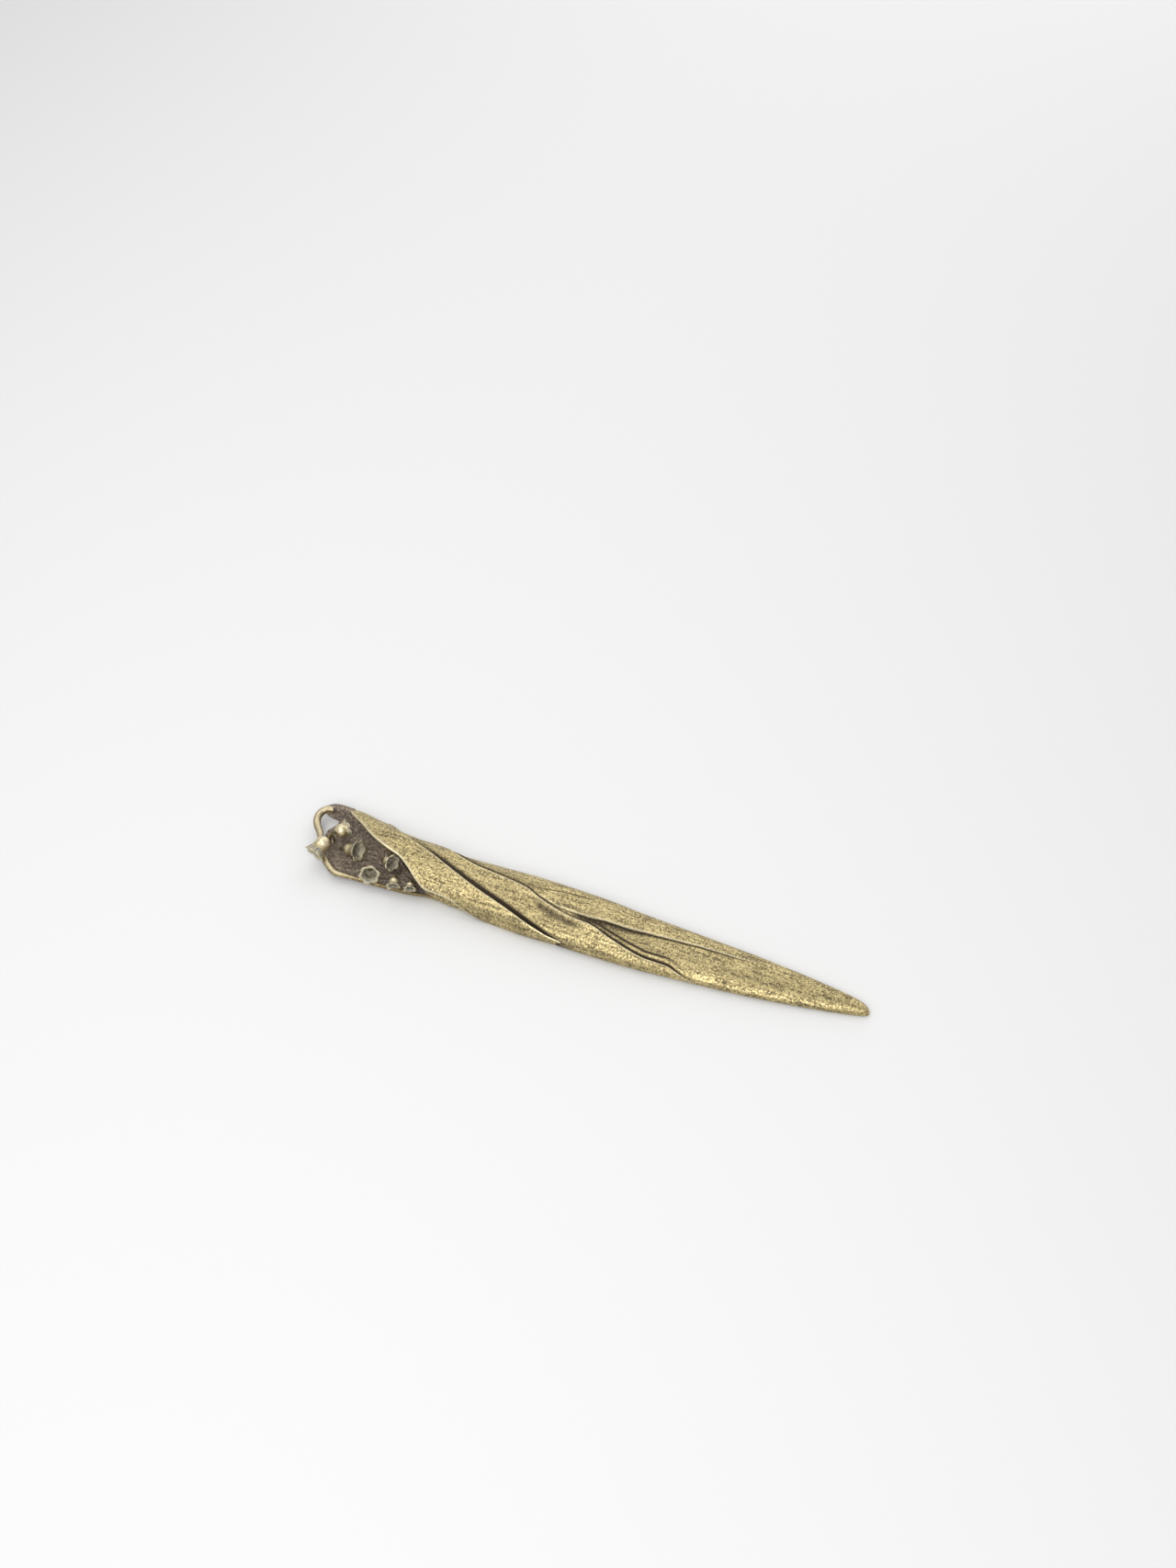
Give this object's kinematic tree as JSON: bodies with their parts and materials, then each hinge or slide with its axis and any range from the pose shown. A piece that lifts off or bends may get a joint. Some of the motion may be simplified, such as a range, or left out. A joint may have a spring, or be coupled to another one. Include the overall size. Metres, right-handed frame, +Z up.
{
  "type": "letter opener",
  "caption": "Cast brass letter opener wrapped in spiralling leaves, with a spray of bell flowers in the leaf's open mouth.",
  "frame": {"origin": "on the flat back, under the waist where the handle meets the blade", "axes": "+X along the opener towards the blade's tip, +Z up from the flat back, +Y towards the side with the raised far leaf"},
  "size_m": [0.2336, 0.0333, 0.0127],
  "materials": {
    "leaf_brass": "satin",
    "dark_ground": "matte",
    "stem_brass": "satin",
    "bell_brass": "satin"
  },
  "bodies": {
    "root": {"blade": "leaf_brass", "outer_leaf": "leaf_brass", "middle_leaf": "leaf_brass", "flower_bed": "dark_ground", "flower_stem": "stem_brass", "bell_1": "bell_brass", "pedicel_1": "stem_brass", "bell_2": "bell_brass", "pedicel_2": "stem_brass", "bell_3": "bell_brass", "pedicel_3": "stem_brass", "bell_4": "bell_brass", "pedicel_4": "stem_brass", "bell_5": "bell_brass", "pedicel_5": "stem_brass", "bell_6": "bell_brass", "pedicel_6": "stem_brass", "bell_7": "bell_brass", "pedicel_7": "stem_brass"}
  },
  "joints": []
}
